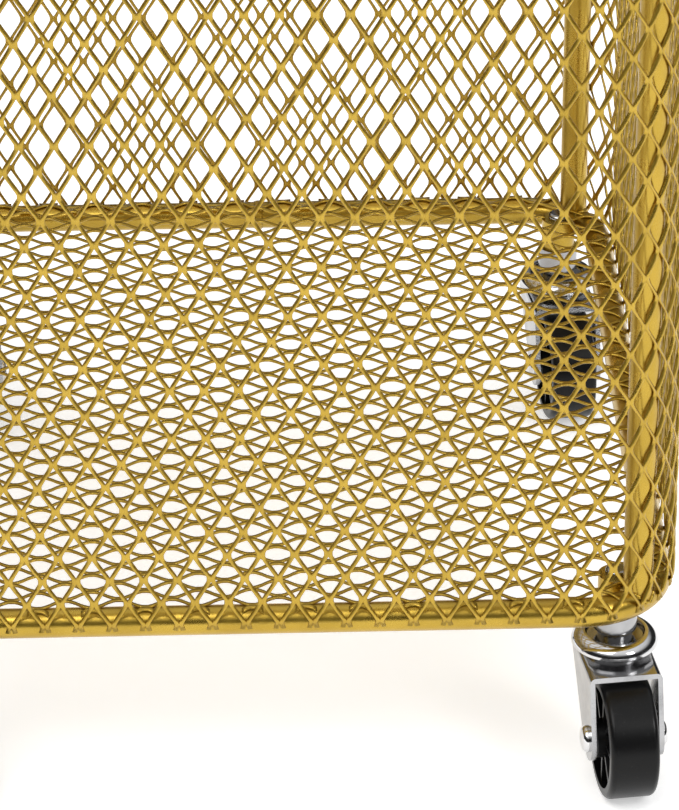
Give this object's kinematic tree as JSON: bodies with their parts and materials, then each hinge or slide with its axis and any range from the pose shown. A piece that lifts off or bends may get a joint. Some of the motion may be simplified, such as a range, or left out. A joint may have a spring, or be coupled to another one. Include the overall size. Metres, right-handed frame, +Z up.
{
  "type": "rolling utility cart",
  "caption": "Open-topped gold expanded-mesh bin on a round-tube frame, rolling on chrome stem swivel casters with hard black wheels.",
  "frame": {"origin": "on the floor, under the middle of the bin", "axes": "+Z up, +X to the right, front of the cart towards -Y"},
  "size_m": [0.32, 0.3922, 0.418],
  "materials": {
    "frame_gold": "metallic gold spray paint, satin",
    "mesh_gold": "metallic gold spray paint on expanded steel, satin",
    "caster_chrome": "bright plated pressed steel",
    "bright_steel": "bare turned steel",
    "wheel_black": "hard moulded plastic, satin"
  },
  "bodies": {
    "frame": {"base_ring": "frame_gold", "top_ring": "frame_gold", "post_front_left": "frame_gold", "post_front_right": "frame_gold", "post_rear_left": "frame_gold", "post_rear_right": "frame_gold", "wall_front": "mesh_gold", "wall_rear": "mesh_gold", "wall_left": "mesh_gold", "wall_right": "mesh_gold", "wall_corner_front_left": "mesh_gold", "wall_corner_front_right": "mesh_gold", "wall_corner_rear_left": "mesh_gold", "wall_corner_rear_right": "mesh_gold", "bottom_panel": "mesh_gold", "socket_front_left": "frame_gold", "stem_front_left": "caster_chrome", "socket_front_right": "frame_gold", "stem_front_right": "caster_chrome", "socket_rear_left": "frame_gold", "stem_rear_left": "caster_chrome", "socket_rear_right": "frame_gold", "stem_rear_right": "caster_chrome"},
    "swivel_front_left": {"fork_front_left": "caster_chrome", "swivel_cap_front_left": "caster_chrome", "race_balls_front_left": "bright_steel", "axle_sleeve_front_left": "bright_steel", "axle_rivet_front_left": "caster_chrome"},
    "roller_front_left": {"wheel_front_left": "wheel_black"},
    "swivel_front_right": {"fork_front_right": "caster_chrome", "swivel_cap_front_right": "caster_chrome", "race_balls_front_right": "bright_steel", "axle_sleeve_front_right": "bright_steel", "axle_rivet_front_right": "caster_chrome"},
    "roller_front_right": {"wheel_front_right": "wheel_black"},
    "swivel_rear_left": {"fork_rear_left": "caster_chrome", "swivel_cap_rear_left": "caster_chrome", "race_balls_rear_left": "bright_steel", "axle_sleeve_rear_left": "bright_steel", "axle_rivet_rear_left": "caster_chrome"},
    "roller_rear_left": {"wheel_rear_left": "wheel_black"},
    "swivel_rear_right": {"fork_rear_right": "caster_chrome", "swivel_cap_rear_right": "caster_chrome", "race_balls_rear_right": "bright_steel", "axle_sleeve_rear_right": "bright_steel", "axle_rivet_rear_right": "caster_chrome"},
    "roller_rear_right": {"wheel_rear_right": "wheel_black"}
  },
  "joints": [
    {"name": "swivel_joint_front_left", "type": "hinge", "parent": "frame", "child": "swivel_front_left", "pos_m": [-0.1356, -0.1586, 0.057], "axis": [0, 0, 1], "continuous": true},
    {"name": "wheel_joint_front_left", "type": "hinge", "parent": "swivel_front_left", "child": "roller_front_left", "pos_m": [-0.13292, -0.18044, 0.025], "axis": [0.9925, 0.1219, 0], "continuous": true},
    {"name": "swivel_joint_front_right", "type": "hinge", "parent": "frame", "child": "swivel_front_right", "pos_m": [0.1356, -0.1586, 0.057], "axis": [0, 0, 1], "continuous": true},
    {"name": "wheel_joint_front_right", "type": "hinge", "parent": "swivel_front_right", "child": "roller_front_right", "pos_m": [0.13828, -0.18044, 0.025], "axis": [0.9925, 0.1219, 0], "continuous": true},
    {"name": "swivel_joint_rear_left", "type": "hinge", "parent": "frame", "child": "swivel_rear_left", "pos_m": [-0.1356, 0.1586, 0.057], "axis": [0, 0, 1], "continuous": true},
    {"name": "wheel_joint_rear_left", "type": "hinge", "parent": "swivel_rear_left", "child": "roller_rear_left", "pos_m": [-0.13292, 0.13676, 0.025], "axis": [0.9925, 0.1219, 0], "continuous": true},
    {"name": "swivel_joint_rear_right", "type": "hinge", "parent": "frame", "child": "swivel_rear_right", "pos_m": [0.1356, 0.1586, 0.057], "axis": [0, 0, 1], "continuous": true},
    {"name": "wheel_joint_rear_right", "type": "hinge", "parent": "swivel_rear_right", "child": "roller_rear_right", "pos_m": [0.13828, 0.13676, 0.025], "axis": [0.9925, 0.1219, 0], "continuous": true}
  ]
}
